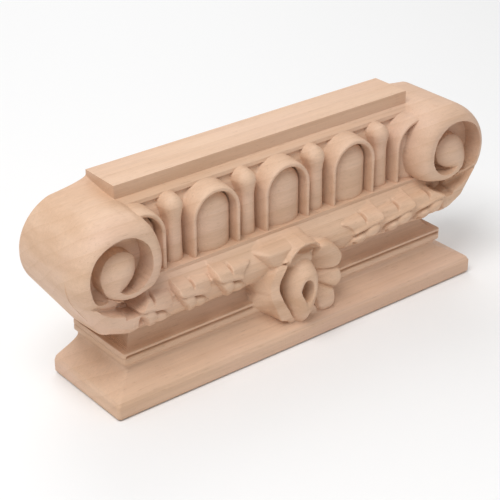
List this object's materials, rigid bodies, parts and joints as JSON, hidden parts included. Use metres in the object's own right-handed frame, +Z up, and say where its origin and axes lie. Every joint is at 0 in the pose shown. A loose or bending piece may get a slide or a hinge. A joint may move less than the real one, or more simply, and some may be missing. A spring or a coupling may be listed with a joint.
{
  "type": "column capital",
  "caption": "Carved wooden pilaster capital with side scrolls, an egg and dart band, leafy swags and a central flower above a stepped neck.",
  "frame": {"origin": "centre of the bounding box at the underside of the base slab", "axes": "+X along the capital, -Y out of the carved front, +Y out of the flat back, +Z up"},
  "size_m": [0.2248, 0.0508, 0.0883],
  "materials": {
    "wood": "unfinished, pale, finely sanded and machine carved"
  },
  "bodies": {
    "root": {"capital": "wood"}
  },
  "joints": []
}
